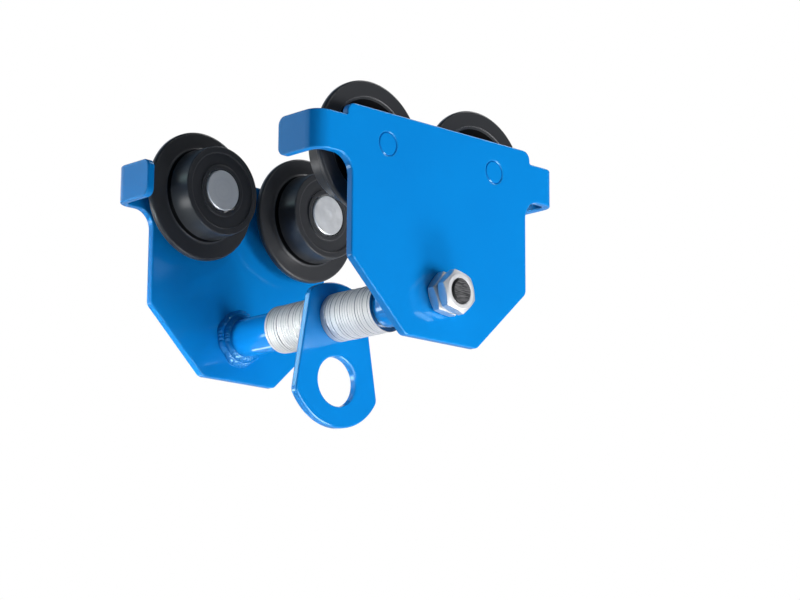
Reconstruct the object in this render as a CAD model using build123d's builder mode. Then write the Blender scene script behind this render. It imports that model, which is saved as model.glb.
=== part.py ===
from build123d import *
import math
import os

# Manual beam trolley: two wheeled side plates, tied by a cross shaft that carries a load lug
# between two stacks of spacer washers.
# Millimetres and degrees. X runs the way the wheels roll, Y across the trolley and Z up. The
# origin is on the surface that the wheels roll on, midway between all four wheels.

# Running clearances and seats
lug_bore_clearance = 0.05
lug_side_play = 0.2
shaft_hole_clearance = 0.5
bearing_clearance = 0.3
head_clearance = 1.5

# Wheels: a flange on the plate side, and a tread that tapers towards the trolley's middle
tread_radius = 40.0
tread_width = 27.0
tread_taper = 1.5
flange_radius = 56.0
flange_width = 6.0
flange_slope = 1.5
flange_round = 2.0
wheel_plate_gap = 12.5
dish_radius = 42.5
dish_floor_radius = 30.0
dish_depth = 9.5
wheel_edge = 1.0
root_round = 2.5
hub_recess_radius = 33.0
hub_rim_radius = 22.5
hub_recess_depth = 1.5
wheel_base = 121.0
axle_rise = 114.0

# Sealed ball bearing in each wheel
bearing_bore = 20.0
bearing_outside = 47.0
bearing_width = 14.0
bearing_seat_depth = 4.0
ball_diameter = 7.9
ball_count = 8
ring_shoulder = 4.4
cage_thickness = 1.6
cage_width = 10.0
shield_thickness = 0.6
shield_inset = 0.5
circlip_thickness = 1.75
circlip_band = 3.2
circlip_groove = 1.2
circlip_gap_angle = 34.0
circlip_ear_radius = 2.3
circlip_hole_radius = 1.0

# Axle pins, riveted into the plates
spigot_diameter = 19.0
rivet_chamfer = 0.7
axle_collar_radius = 13.0
axle_collar_length = 1.5
axle_head_diameter = 35.0
axle_head_thickness = 5.0
axle_head_edge = 0.8
axle_spacer_wall = 4.0

# Side plates: the head is measured up from the axles, the shoulder and the drop from the shaft axis
plate_gap = 243.0
plate_thickness = 7.0
plate_half_width = 98.5
plate_head = 26.0
plate_drop = 38.0
plate_foot_half_width = 40.5
plate_shoulder_rise = 16.5
plate_corner = 7.0
plate_edge = 1.2
block_step = 5.5
block_corner = 8.0
block_height = 10.5
ear_height = 32.0
ear_reach = 38.0
ear_return = 46.5
ear_root_round = 16.0
ear_notch_round = 1.5
ear_bend = 7.0
ear_corner = 7.0
seam = 0.01

# Bosses and their welds
boss_diameter = 34.0
weld_leg = 8.0
weld_crown = 0.5

# Cross shaft, nuts and spacer washers
shaft_diameter = 22.0
thread_diameter = 20.4
thread_run_out = 4.0
shaft_stub = 1.5
shaft_chamfer = 1.2
nut_across_flats = 32.0
nut_thickness = 11.0
nut_face_diameter = 28.0
nut_chamfer = 30.0
nut_countersink = 0.8
lock_nut_turn = 15.0
inner_nut_turn = 8.0
washer_diameter = 41.0
washer_thickness = 3.0
washer_edge = 0.4
washer_slack = 0.3
washer_turn = 137.5
front_washers = 20
rear_washers = 21

# Load lug, with heights and drops measured from the shaft axis
lug_thickness = 7.0
lug_crown = 30.0
lug_shoulder_rise = 20.0
lug_shoulder_half_width = 30.5
lug_hip_drop = 66.0
lug_hip_half_width = 45.5
lug_foot = 93.0
lug_corner = 8.0
lug_edge = 1.2
eye_diameter = 42.0
eye_drop = 54.0

# Places that follow from the sizes above
shaft_z = tread_radius - axle_rise
plate_top = tread_radius + plate_head
inner_y = plate_gap / 2
outer_y = inner_y + plate_thickness
lug_y = (front_washers - rear_washers) * washer_thickness / 2
stack_length = (front_washers + rear_washers) * washer_thickness
boss_length = (plate_gap - lug_thickness - 2 * lug_side_play - stack_length) / 2
shaft_radius = shaft_diameter / 2
shaft_hole = shaft_radius + shaft_hole_clearance
thread_radius = thread_diameter / 2
thread_start_y = outer_y - thread_run_out
shaft_end_y = outer_y + 2 * nut_thickness + shaft_stub

# Depths into the trolley, from a plate's inner face towards the middle
wheel_face = wheel_plate_gap
flange_back = wheel_face + flange_width
tread_start = flange_back + flange_slope
wheel_end = flange_back + tread_width
dish_floor = wheel_face + dish_depth
bearing_start = dish_floor + bearing_seat_depth
bearing_end = bearing_start + bearing_width
collar_end = bearing_end + axle_collar_length
head_end = collar_end + axle_head_thickness

# Radii of the bearing
bearing_pitch = (bearing_bore + bearing_outside) / 4
race_radius = ball_diameter / 2 + bearing_clearance
inner_shoulder = bearing_bore / 2 + ring_shoulder
outer_shoulder = bearing_outside / 2 - ring_shoulder
shield_bore = inner_shoulder + bearing_clearance
head_bore = axle_head_diameter / 2 + head_clearance

sides = {"front": -1, "rear": 1}
ends = {"left": -1, "right": 1}

os.makedirs("parts", exist_ok=True)


def save(piece, name):
    """Labels a finished piece and writes it."""
    piece.part.label = name
    export_step(piece.part, f"parts/{name}.step")


def turned_plane(x, z, side):
    """Profile plane of a turned piece: radius along X, depth inwards from a plate's inner face."""
    return Plane(origin=(x, side * inner_y, z), x_dir=(1, 0, 0), z_dir=(0, 0, -side))


def across(x, z):
    """Axis of a turned piece, across the trolley."""
    return Axis((x, 0, z), (0, 1, 0))


def depth_plane(x, z, side, depth):
    """Plane square to an axle at a depth, with its normal pointing inwards."""
    return Plane(origin=(x, side * (inner_y - depth), z), x_dir=(1, 0, 0), z_dir=(0, -side, 0))


def ring(x, z, side, inside, outside, start, end):
    """A plain tube or ring between two radii and two depths."""
    with BuildPart() as piece:
        with BuildSketch(depth_plane(x, z, side, start)):
            Circle(outside)
            Circle(inside, mode=Mode.SUBTRACT)
        extrude(amount=end - start)
    return piece


def side_plate(side):
    """A plate with a chamfered foot, a wider upper block and two ears bent inwards."""
    bend_outside = ear_bend + plate_thickness
    ear_end = plate_half_width + ear_reach
    bend_start = ear_end - bend_outside
    block_half_width = plate_half_width + block_step
    ear_high = plate_top - block_height
    ear_low = ear_high - ear_height
    ear_tip_y = outer_y - ear_return
    half_outline = [
        (plate_foot_half_width, shaft_z - plate_drop, plate_corner),
        (plate_half_width, shaft_z + plate_shoulder_rise, plate_corner),
        (plate_half_width, ear_low, ear_root_round),
        (bend_start, ear_low, 0),
        (bend_start, ear_high, 0),
        (block_half_width, ear_high, ear_notch_round),
        (block_half_width, plate_top, block_corner),
    ]
    right = [(x, z) for x, z, _ in half_outline]
    left = [(-x, z) for x, z in reversed(right)]
    corners = [radius for _, _, radius in half_outline]
    ear_section = [
        (block_half_width, outer_y, 0),
        (ear_end, outer_y, bend_outside),
        (ear_end, ear_tip_y, 0),
        (ear_end - plate_thickness, ear_tip_y, 0),
        (ear_end - plate_thickness, inner_y, ear_bend),
        (block_half_width, inner_y, 0),
    ]
    ear_corners = [radius for _, _, radius in ear_section]
    with BuildPart() as piece:
        with BuildSketch(Plane.XZ.offset(-side * inner_y)):
            with BuildLine():
                FilletPolyline(*right, *left, radius=corners + corners[::-1], close=True)
            make_face()
        extrude(amount=-side * plate_thickness)
        for end in ends.values():
            points = [(end * x, side * y) for x, y, _ in ear_section]
            with BuildSketch(Plane.XY.offset(ear_low)):
                with BuildLine():
                    FilletPolyline(*points, radius=ear_corners, close=True)
                make_face()
            extrude(amount=ear_height)
        tips = piece.edges().filter_by(Axis.X).group_by(Axis.Y)[0 if side > 0 else -1]
        fillet(tips, ear_corner)
        # Round every long edge; what runs through the sheet's thickness stays as it is.
        ears = piece.edges().filter_by(lambda edge: abs(edge.center().X) > bend_start + seam)
        flat = piece.edges().filter_by(lambda edge: abs(edge.center().X) < bend_start - seam)
        long_flat = flat.filter_by(Axis.Y, reverse=True)
        long_ears = ears.filter_by(Axis.X, reverse=True).filter_by(Axis.Z, reverse=True)
        fillet(long_flat + long_ears, plate_edge)
        # The shaft hole, and the two holes that the axles are riveted into.
        with BuildSketch(Plane.XZ.offset(-side * inner_y)):
            with Locations((0, shaft_z)):
                Circle(shaft_hole)
            with GridLocations(wheel_base, 0, 2, 1):
                with Locations((0, tread_radius)):
                    Circle(spigot_diameter / 2)
        extrude(amount=-side * plate_thickness, mode=Mode.SUBTRACT)
        rims = piece.edges().filter_by(GeomType.CIRCLE)
        rims = rims.filter_by(lambda edge: abs(edge.radius - spigot_diameter / 2) < 0.001)
        chamfer(rims.group_by(Axis.Y)[-1 if side > 0 else 0], rivet_chamfer)
    return piece


def boss_weld(side):
    """The fillet weld, slightly crowned, that runs round a boss where it meets its plate."""
    root = boss_diameter / 2
    crest = weld_leg / 2 + weld_crown
    with BuildPart() as piece:
        with BuildSketch(turned_plane(0, shaft_z, side)):
            with BuildLine():
                Polyline((root, weld_leg), (root, 0), (root + weld_leg, 0))
                ThreePointArc((root + weld_leg, 0), (root + crest, crest), (root, weld_leg))
            make_face()
        revolve(axis=across(0, shaft_z))
    return piece


def wheel(x, side):
    """A flanged track wheel: dished on the plate side, with a stepped bore for its bearing."""
    seat = bearing_outside / 2
    groove = seat + circlip_groove
    groove_start = bearing_start - circlip_thickness
    recess_floor = wheel_end - hub_recess_depth
    profile = [
        (seat, dish_floor, 0),
        (dish_floor_radius, dish_floor, root_round),
        (dish_radius, wheel_face, wheel_edge),
        (flange_radius, wheel_face, flange_round),
        (flange_radius, flange_back, flange_round),
        (tread_radius, tread_start, root_round),
        (tread_radius - tread_taper, wheel_end, wheel_edge),
        (hub_recess_radius, wheel_end, 0),
        (hub_recess_radius, recess_floor, 0),
        (hub_rim_radius, recess_floor, 0),
        (hub_rim_radius, wheel_end, 0),
        (head_bore, wheel_end, 0),
        (head_bore, bearing_end, 0),
        (seat, bearing_end, 0),
        (seat, bearing_start, 0),
        (groove, bearing_start, 0),
        (groove, groove_start, 0),
        (seat, groove_start, 0),
    ]
    points = [(radius, depth) for radius, depth, _ in profile]
    rounds = [size for _, _, size in profile]
    with BuildPart() as piece:
        with BuildSketch(turned_plane(x, tread_radius, side)):
            with BuildLine():
                FilletPolyline(*points, radius=rounds, close=True)
            make_face()
        revolve(axis=across(x, tread_radius))
    return piece


def axle(x, side):
    """A pin with a bright head in the wheel's hub and a spigot riveted flush into the plate."""
    spigot = spigot_diameter / 2
    shank = bearing_bore / 2
    head = axle_head_diameter / 2
    with BuildPart() as piece:
        with BuildSketch(turned_plane(x, tread_radius, side)):
            with BuildLine():
                Polyline(
                    (0, -plate_thickness),
                    (spigot - rivet_chamfer, -plate_thickness),
                    (spigot, rivet_chamfer - plate_thickness),
                    (spigot, 0),
                    (shank, 0),
                    (shank, bearing_end),
                    (axle_collar_radius, bearing_end),
                    (axle_collar_radius, collar_end),
                    (head, collar_end),
                    (head, head_end - axle_head_edge),
                    (head - axle_head_edge, head_end),
                    (0, head_end),
                    close=True,
                )
            make_face()
        revolve(axis=across(x, tread_radius))
    return piece


def bearing_ring(x, side, inside, outside):
    """One ring of the bearing, with the groove that its balls run in."""
    with BuildPart() as piece:
        with BuildSketch(turned_plane(x, tread_radius, side)):
            with Locations((inside, bearing_start)):
                Rectangle(outside - inside, bearing_width, align=(Align.MIN, Align.MIN))
            with Locations((bearing_pitch, bearing_start + bearing_width / 2)):
                Circle(race_radius, mode=Mode.SUBTRACT)
        revolve(axis=across(x, tread_radius))
    return piece


def bearing_balls(x, side):
    """The balls, evenly spaced round the pitch circle."""
    middle = depth_plane(x, tread_radius, side, bearing_start + bearing_width / 2)
    with BuildPart(middle) as piece:
        with PolarLocations(bearing_pitch, ball_count):
            Sphere(ball_diameter / 2)
    return piece


def bearing_cage(x, side):
    """The ring that keeps the balls apart, with a round pocket for each."""
    middle = depth_plane(x, tread_radius, side, bearing_start + bearing_width / 2)
    with BuildPart(middle) as piece:
        Cylinder(bearing_pitch + cage_thickness / 2, cage_width)
        Cylinder(bearing_pitch - cage_thickness / 2, cage_width, mode=Mode.SUBTRACT)
        with PolarLocations(bearing_pitch, ball_count):
            pocket = ball_diameter / 2 + bearing_clearance
            Cylinder(pocket, ball_diameter, rotation=(0, 90, 0), mode=Mode.SUBTRACT)
    return piece


def bearing_shields(x, side):
    """The two thin shields that close the bearing, carried by its outer ring."""
    far = bearing_width - 2 * shield_inset - shield_thickness
    with BuildPart() as piece:
        for depth in (bearing_start + shield_inset, bearing_start + shield_inset + far):
            with BuildSketch(depth_plane(x, tread_radius, side, depth)):
                Circle(outer_shoulder)
                Circle(shield_bore, mode=Mode.SUBTRACT)
            extrude(amount=shield_thickness)
    return piece


def circlip(x, side):
    """The spring ring in the wheel's groove, open at one place, with two eared ends."""
    outside = bearing_outside / 2 + circlip_groove
    inside = outside - circlip_band
    half_gap = math.radians(circlip_gap_angle / 2)
    reach = 2 * outside
    ear_angle = circlip_gap_angle / 2 + math.degrees(circlip_ear_radius / inside)
    gap_corner = (reach * math.sin(half_gap), reach * math.cos(half_gap))
    with BuildPart() as piece:
        start = bearing_start - circlip_thickness
        with BuildSketch(depth_plane(x, tread_radius, side, start)):
            Circle(outside)
            Circle(inside, mode=Mode.SUBTRACT)
            with BuildLine():
                Polyline((0, 0), gap_corner, (-gap_corner[0], gap_corner[1]), close=True)
            make_face(mode=Mode.SUBTRACT)
            with PolarLocations(inside, 2, 90 - ear_angle, 2 * ear_angle, endpoint=True):
                Circle(circlip_ear_radius)
                Circle(circlip_hole_radius, mode=Mode.SUBTRACT)
        extrude(amount=circlip_thickness)
    return piece


def spacer_washers(side, count):
    """A stack of loose washers from the lug to the boss, each resting a little off centre."""
    lug_face = lug_y + side * (lug_thickness / 2 + lug_side_play)
    stack = []
    for number in range(count):
        lean = math.radians(number * washer_turn)
        x = washer_slack * math.cos(lean)
        z = shaft_z + washer_slack * math.sin(lean)
        start = inner_y - abs(lug_face + side * number * washer_thickness) - washer_thickness
        with BuildPart() as washer:
            with BuildSketch(turned_plane(x, z, side)):
                with BuildLine():
                    Polyline(
                        (shaft_hole, start),
                        (washer_diameter / 2, start),
                        (washer_diameter / 2, start + washer_thickness - washer_edge),
                        (washer_diameter / 2 - washer_edge, start + washer_thickness),
                        (shaft_hole, start + washer_thickness),
                        close=True,
                    )
                make_face()
            revolve(axis=across(x, z))
        stack.append(washer.part)
    return stack


def cross_shaft():
    """The round bar that ties the plates together, with threaded ends for two nuts each."""
    with BuildPart() as piece:
        with BuildSketch(Plane.XZ.offset(shaft_end_y)):
            with Locations((0, shaft_z)):
                Circle(thread_radius)
        extrude(amount=-2 * shaft_end_y)
        chamfer(piece.edges().filter_by(GeomType.CIRCLE), shaft_chamfer)
        with BuildSketch(Plane.XZ.offset(thread_start_y)):
            with Locations((0, shaft_z)):
                Circle(shaft_radius)
        extrude(amount=-2 * thread_start_y)
    return piece


def thin_nut(side, start, turn):
    """A thin hexagon nut with both faces chamfered and its thread countersunk."""
    flat = nut_across_flats / 2
    corner = flat / math.cos(math.radians(30))
    face = nut_face_diameter / 2
    drop = (corner - face) * math.tan(math.radians(nut_chamfer))
    with BuildPart() as piece:
        with BuildSketch(depth_plane(0, shaft_z, side, start)):
            RegularPolygon(flat, 6, major_radius=False, rotation=-side * turn)
        extrude(amount=nut_thickness)
        with BuildSketch(turned_plane(0, shaft_z, side)):
            with BuildLine():
                Polyline(
                    (0, start),
                    (face, start),
                    (corner, start + drop),
                    (corner, start + nut_thickness - drop),
                    (face, start + nut_thickness),
                    (0, start + nut_thickness),
                    close=True,
                )
            make_face()
        revolve(axis=across(0, shaft_z), mode=Mode.INTERSECT)
        with BuildSketch(depth_plane(0, shaft_z, side, start)):
            Circle(thread_radius)
        extrude(amount=nut_thickness, mode=Mode.SUBTRACT)
        mouths = piece.edges().filter_by(GeomType.CIRCLE)
        mouths = mouths.filter_by(lambda edge: abs(edge.radius - thread_radius) < 0.001)
        chamfer(mouths, nut_countersink)
    return piece


def load_lug():
    """The tapered hanger plate, bowed at head and foot, with its eye and its shaft bore."""
    shoulder = (lug_shoulder_half_width, shaft_z + lug_shoulder_rise)
    hip = (lug_hip_half_width, shaft_z - lug_hip_drop)
    shoulder_left = (-shoulder[0], shoulder[1])
    hip_left = (-hip[0], hip[1])
    with BuildPart() as piece:
        with BuildSketch(Plane.XZ.offset(lug_thickness / 2 - lug_y)) as outline:
            with BuildLine():
                Line(shoulder, hip)
                ThreePointArc(hip, (0, shaft_z - lug_foot), hip_left)
                Line(hip_left, shoulder_left)
                ThreePointArc(shoulder_left, (0, shaft_z + lug_crown), shoulder)
            make_face()
            fillet(outline.vertices(), lug_corner)
            with Locations((0, shaft_z - eye_drop)):
                Circle(eye_diameter / 2, mode=Mode.SUBTRACT)
        extrude(amount=-lug_thickness)
        fillet(piece.edges().filter_by(Axis.Y, reverse=True), lug_edge)
        with BuildSketch(Plane.XZ.offset(lug_thickness / 2 - lug_y)):
            with Locations((0, shaft_z)):
                Circle(shaft_radius + lug_bore_clearance)
        extrude(amount=-lug_thickness, mode=Mode.SUBTRACT)
    return piece


save(cross_shaft(), "cross_shaft")
save(load_lug(), "load_lug")
for side_name, side in sides.items():
    save(side_plate(side), f"{side_name}_side_plate")
    save(ring(0, shaft_z, side, shaft_hole, boss_diameter / 2, 0, boss_length), f"{side_name}_boss")
    save(boss_weld(side), f"{side_name}_boss_weld")
    save(thin_nut(side, -plate_thickness - nut_thickness, inner_nut_turn), f"{side_name}_inner_nut")
    save(thin_nut(side, -plate_thickness - 2 * nut_thickness, lock_nut_turn), f"{side_name}_lock_nut")
    washer_count = front_washers if side < 0 else rear_washers
    stack_name = f"{side_name}_spacer_washers"
    stack = Compound(label=stack_name, children=spacer_washers(side, washer_count))
    export_step(stack, f"parts/{stack_name}.step")
    for end_name, end in ends.items():
        corner_name = f"{side_name}_{end_name}"
        x = end * wheel_base / 2
        shank = bearing_bore / 2
        spacer = ring(x, tread_radius, side, shank, shank + axle_spacer_wall, 0, bearing_start)
        save(wheel(x, side), f"{corner_name}_wheel")
        save(axle(x, side), f"{corner_name}_axle")
        save(spacer, f"{corner_name}_axle_spacer")
        save(bearing_ring(x, side, shank, inner_shoulder), f"{corner_name}_bearing_inner_ring")
        outer_ring = bearing_ring(x, side, outer_shoulder, bearing_outside / 2)
        save(outer_ring, f"{corner_name}_bearing_outer_ring")
        save(bearing_balls(x, side), f"{corner_name}_bearing_balls")
        save(bearing_cage(x, side), f"{corner_name}_bearing_cage")
        save(bearing_shields(x, side), f"{corner_name}_bearing_shields")
        save(circlip(x, side), f"{corner_name}_circlip")

print("shaft axis height", shaft_z, "boss length", boss_length, "lug middle", lug_y)
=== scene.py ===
# %% [markdown]
# # A push-type beam trolley, dressed for its picture
# A push-type trolley rolls on four flanged wheels and carries a hoist. Two side plates hold the wheels,
# one cross shaft ties the plates together, and a load lug swings on that shaft between two stacks of
# spacer washers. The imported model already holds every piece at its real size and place. All of it could
# be modelled again here, but then two models would have to be kept alike. So this lesson only adds what
# a camera sees: the studio, the paints and metals, and the few pieces whose surface is too fine for
# plain solids.

# %% Load the trolley
import bpy
import math
import random
from mathutils import Matrix, Vector


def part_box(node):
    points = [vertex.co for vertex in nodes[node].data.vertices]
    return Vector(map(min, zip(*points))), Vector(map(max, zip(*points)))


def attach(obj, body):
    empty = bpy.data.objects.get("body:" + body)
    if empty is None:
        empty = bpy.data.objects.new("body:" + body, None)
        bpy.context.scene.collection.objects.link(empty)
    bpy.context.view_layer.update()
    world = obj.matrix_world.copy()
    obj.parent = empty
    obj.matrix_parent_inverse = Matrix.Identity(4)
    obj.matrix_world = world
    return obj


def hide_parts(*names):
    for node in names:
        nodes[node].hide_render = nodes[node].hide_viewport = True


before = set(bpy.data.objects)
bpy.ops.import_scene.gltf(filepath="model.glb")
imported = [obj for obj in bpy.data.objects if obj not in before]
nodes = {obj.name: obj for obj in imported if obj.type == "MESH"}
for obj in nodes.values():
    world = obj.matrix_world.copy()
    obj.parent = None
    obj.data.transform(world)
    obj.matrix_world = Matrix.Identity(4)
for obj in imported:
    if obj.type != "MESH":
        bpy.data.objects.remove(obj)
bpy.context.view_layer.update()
scene = bpy.context.scene

# %% [markdown]
# ## Places read from the frame
# Later cells need the shaft's axis, the plates' inner faces and the wheels' axles. These could be typed
# in as numbers. They are read from the nodes' boxes instead, so that a pattern or a piece stays on its
# axis if the model changes.

# %% Read the main places
def middle(node):
    """Middle of a node's box."""
    low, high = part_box(node)
    return (low + high) / 2


def radius_of(node):
    """Radius of a round node that lies along the shaft."""
    low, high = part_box(node)
    return (high.z - low.z) / 2


shaft_z = middle("cross_shaft").z
shaft_radius = radius_of("cross_shaft")
boss_radius = radius_of("front_boss")
inner_y = -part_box("front_boss")[0].y
axle_x = middle("front_right_axle").x
axle_z = middle("front_right_axle").z
print("shaft height", round(shaft_z, 4), "plates' inner faces", round(inner_y, 4))
print("axles", round(axle_x, 4), round(axle_z, 4))

# %% [markdown]
# ## Camera
# The photograph looks up at the trolley from its front left with a long lens. The angles, the distance
# and the lens come from matching the edges of the plates, the shaft and the lug. A lens shift could
# bring the trolley to its place in the picture, but it would stay in every other view, so the camera is
# moved sideways and up instead.

# %% Place the camera
VIEW_AZIMUTH = math.radians(-43.752)
VIEW_ELEVATION = math.radians(-12.499)
VIEW_ROLL = math.radians(0.348)
VIEW_DISTANCE = 2.146448
VIEW_RIGHT = 0.0554355
VIEW_UP = 0.0157325
LENS = 115.33
SENSOR = 36.0

back = Vector((
    math.sin(VIEW_AZIMUTH) * math.cos(VIEW_ELEVATION),
    -math.cos(VIEW_AZIMUTH) * math.cos(VIEW_ELEVATION),
    math.sin(VIEW_ELEVATION),
))
level_right = Vector((0, 0, 1)).cross(back).normalized()
level_up = back.cross(level_right)
right = math.cos(VIEW_ROLL) * level_right + math.sin(VIEW_ROLL) * level_up
up = math.cos(VIEW_ROLL) * level_up - math.sin(VIEW_ROLL) * level_right
target = Vector((0, 0, shaft_z))
eye = target + VIEW_RIGHT * right + VIEW_UP * up + VIEW_DISTANCE * back
camera_data = bpy.data.cameras.new("camera")
camera_data.lens = LENS
camera_data.sensor_width = SENSOR
camera = bpy.data.objects.new("camera", camera_data)
scene.collection.objects.link(camera)
camera.matrix_world = Matrix((
    (right.x, up.x, back.x, eye.x),
    (right.y, up.y, back.y, eye.y),
    (right.z, up.z, back.z, eye.z),
    (0, 0, 0, 1),
))
scene.camera = camera
scene.view_settings.view_transform = "Standard"
print("camera at", [round(v, 3) for v in eye])

# %% [markdown]
# ## Nodes by name
# Every material is a tree of nodes, and each node has to be added, set and linked. This could be done
# line by line for each finish. A few small helpers keep the finishes short, so that a cell reads like
# the recipe of its paint. A number goes straight onto a socket, and only what varies is linked.

# %% Helpers for node trees
def new_material(name):
    """An empty node material with an output."""
    material = bpy.data.materials.new(name)
    material.use_nodes = True
    material.node_tree.nodes.clear()
    return material, material.node_tree, add(material.node_tree, "OutputMaterial")


def add(tree, kind, **settings):
    """A node of a kind, with its plain settings."""
    node = tree.nodes.new("ShaderNode" + kind)
    for key, value in settings.items():
        setattr(node, key, value)
    return node


def math_node(tree, operation, *values):
    """A math node whose inputs are sockets or plain numbers."""
    node = add(tree, "Math", operation=operation)
    for socket, value in zip(node.inputs, values):
        if isinstance(value, (int, float)):
            socket.default_value = value
        else:
            tree.links.new(value, socket)
    return node.outputs[0]


def principled(tree, **plain):
    """A Principled shader with plain values on its own sockets."""
    shader = add(tree, "BsdfPrincipled")
    for key, value in plain.items():
        shader.inputs[key.replace("_", " ")].default_value = value
    return shader


def mix_shaders(tree, fac, first, second):
    """A mix that goes from one shader node to another."""
    node = add(tree, "MixShader")
    tree.links.new(fac, node.inputs["Fac"])
    tree.links.new(first.outputs[0], node.inputs[1])
    tree.links.new(second.outputs[0], node.inputs[2])
    return node


print("node helpers ready")

# %% [markdown]
# ## Floor
# The trolley is seen from below against white, so much of its light comes up from a pale floor, as on a
# light table. A plain lit plane would do, but its tone would change from view to view. So the camera
# sees mostly one even tone with a little of the true shadow, while the trolley is lit by the real, matt
# floor with a faint glow. Seen from underneath, the floor is clear, so that a camera below it still sees
# the trolley.

# %% Build the floor
FLOOR_Z = -1.3
FLOOR_SIZE = 14.0
FLOOR_PAINT = (0.9, 0.9, 0.9, 1)
FLOOR_ROUGHNESS = 0.9
FLOOR_SPECULAR = 0.1
FLOOR_GLOW = 0.25
FLOOR_GLOW_TINT = (0.88, 0.94, 1, 1)
FLOOR_SEEN = (0.84, 0.86, 0.88, 1)
FLOOR_EVEN = 0.85

bpy.ops.object.select_all(action="DESELECT")
bpy.ops.mesh.primitive_plane_add(size=FLOOR_SIZE, location=(0, 0, FLOOR_Z))
floor = bpy.context.object
floor.name = "floor"
floor_paint, tree, output = new_material("pale_floor")
matt = principled(
    tree,
    Base_Color=FLOOR_PAINT,
    Roughness=FLOOR_ROUGHNESS,
    Specular_IOR_Level=FLOOR_SPECULAR,
    Emission_Color=FLOOR_GLOW_TINT,
    Emission_Strength=FLOOR_GLOW,
)
even = add(tree, "Emission")
even.inputs["Color"].default_value = FLOOR_SEEN
clear = add(tree, "BsdfTransparent")
to_camera = add(tree, "LightPath").outputs["Is Camera Ray"]
underside = add(tree, "NewGeometry").outputs["Backfacing"]
evened = mix_shaders(tree, math_node(tree, "MULTIPLY", to_camera, FLOOR_EVEN), matt, even)
shown = mix_shaders(tree, math_node(tree, "MULTIPLY", underside, to_camera), evened, clear)
tree.links.new(shown.outputs[0], output.inputs["Surface"])
floor.data.materials.append(floor_paint)
print("floor", FLOOR_Z, "m below the running surface")

# %% [markdown]
# ## Room
# Gloss paint and bright metal show what stands round them, so the room matters as much as the lamps.
# A picture of a real studio could be wrapped round the scene. Here the room is drawn from the direction
# alone, because each part of it can then be set by one number: bright behind the trolley, dim in front
# and overhead, with a window behind on the left that the plates' left edges mirror. A dark flag stands
# where the front plate mirrors the room, since without it the glossy paint would turn pale. The dim parts
# are tinted blue, as in the photograph's shadows. The camera, and gloss that mirrors the back of the
# room, see plain white, and towards the horizon the camera sees the far floor's own tone.

# %% Helpers for directions and colours
# A Mix node has sockets for numbers, vectors and colours. These are the places of the colour ones.
MIX_FIRST = 6
MIX_SECOND = 7
MIX_RESULT = 2


def ramp(tree, source, low, high):
    """A smooth step from 0 at low to 1 at high."""
    node = add(tree, "MapRange", interpolation_type="SMOOTHSTEP")
    node.inputs["From Min"].default_value = low
    node.inputs["From Max"].default_value = high
    tree.links.new(source, node.inputs["Value"])
    return node.outputs["Result"]


def toward(tree, source, direction):
    """The cosine of the angle between a direction socket and a fixed direction."""
    node = add(tree, "VectorMath", operation="DOT_PRODUCT")
    tree.links.new(source, node.inputs[0])
    node.inputs[1].default_value = Vector(direction).normalized()
    return node.outputs["Value"]


def rest_of(tree, mask):
    """The places that a mask leaves free: 1 minus the mask."""
    return math_node(tree, "SUBTRACT", 1.0, mask)


def dimmed(tree, level, mask, share):
    """A level that falls to a share of itself where the mask is 1."""
    return math_node(tree, "MULTIPLY", level, math_node(tree, "MULTIPLY_ADD", mask, share - 1.0, 1.0))


def blend(tree, fac, low, high):
    """A colour between two colours or sockets."""
    node = add(tree, "Mix", data_type="RGBA")
    tree.links.new(fac, node.inputs["Factor"])
    for socket, value in ((node.inputs[MIX_FIRST], low), (node.inputs[MIX_SECOND], high)):
        if isinstance(value, tuple):
            socket.default_value = (*value, 1)
        else:
            tree.links.new(value, socket)
    return node.outputs[MIX_RESULT]


print("direction and colour helpers ready")

# %% Light the room
WHITE = (1.0, 1.0, 1.0)
COOL = (0.3, 0.6, 1.0)
FLOOR_FAR = (0.763, 0.789, 0.813)
FRONT = 0.12
BEHIND = 0.85
BEHIND_RAMP = (0.1, 0.55)
OVERHEAD = 0.3
OVERHEAD_RAMP = (0.3, 0.75)
WINDOW = 0.5
WINDOW_RAMP = (0.72, 0.92)
FLAG = 0.25
FLAG_RAMP = (0.86, 0.96)
HORIZON_RAMP = (-0.09, 0.0)
PLATE_MIRRORS = (-back.x, back.y, -back.z)
LEFT_EDGE_MIRRORS = (back.x, -back.y, -back.z)

world = bpy.data.worlds.new("studio")
scene.world = world
world.use_nodes = True
tree = world.node_tree
tree.nodes.clear()
output = add(tree, "OutputWorld")
white = add(tree, "Background")
room = add(tree, "Background")
direction = add(tree, "TexCoord").outputs["Generated"]
behind = ramp(tree, toward(tree, direction, (0, 1, 0)), *BEHIND_RAMP)
overhead = ramp(tree, toward(tree, direction, (0, 0, 1)), *OVERHEAD_RAMP)
window = ramp(tree, toward(tree, direction, LEFT_EDGE_MIRRORS), *WINDOW_RAMP)
flag = ramp(tree, toward(tree, direction, PLATE_MIRRORS), *FLAG_RAMP)
level = math_node(tree, "MULTIPLY_ADD", behind, BEHIND - FRONT, FRONT)
level = math_node(tree, "MULTIPLY_ADD", window, WINDOW, level)
level = dimmed(tree, level, overhead, OVERHEAD)
level = dimmed(tree, level, flag, FLAG)
tree.links.new(level, room.inputs["Strength"])
back_wall = math_node(tree, "MULTIPLY", behind, rest_of(tree, overhead))
tree.links.new(blend(tree, back_wall, COOL, WHITE), room.inputs["Color"])
ray = add(tree, "LightPath")
below = ramp(tree, toward(tree, direction, (0, 0, -1)), *HORIZON_RAMP)
far_floor = math_node(tree, "MULTIPLY", below, ray.outputs["Is Camera Ray"])
tree.links.new(blend(tree, far_floor, WHITE, FLOOR_FAR), white.inputs["Color"])
mirrored = math_node(tree, "MAXIMUM", ray.outputs["Is Glossy Ray"], ray.outputs["Is Transmission Ray"])
mirrored = math_node(tree, "MULTIPLY", mirrored, back_wall)
sees_white = math_node(tree, "MAXIMUM", ray.outputs["Is Camera Ray"], mirrored)
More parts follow.
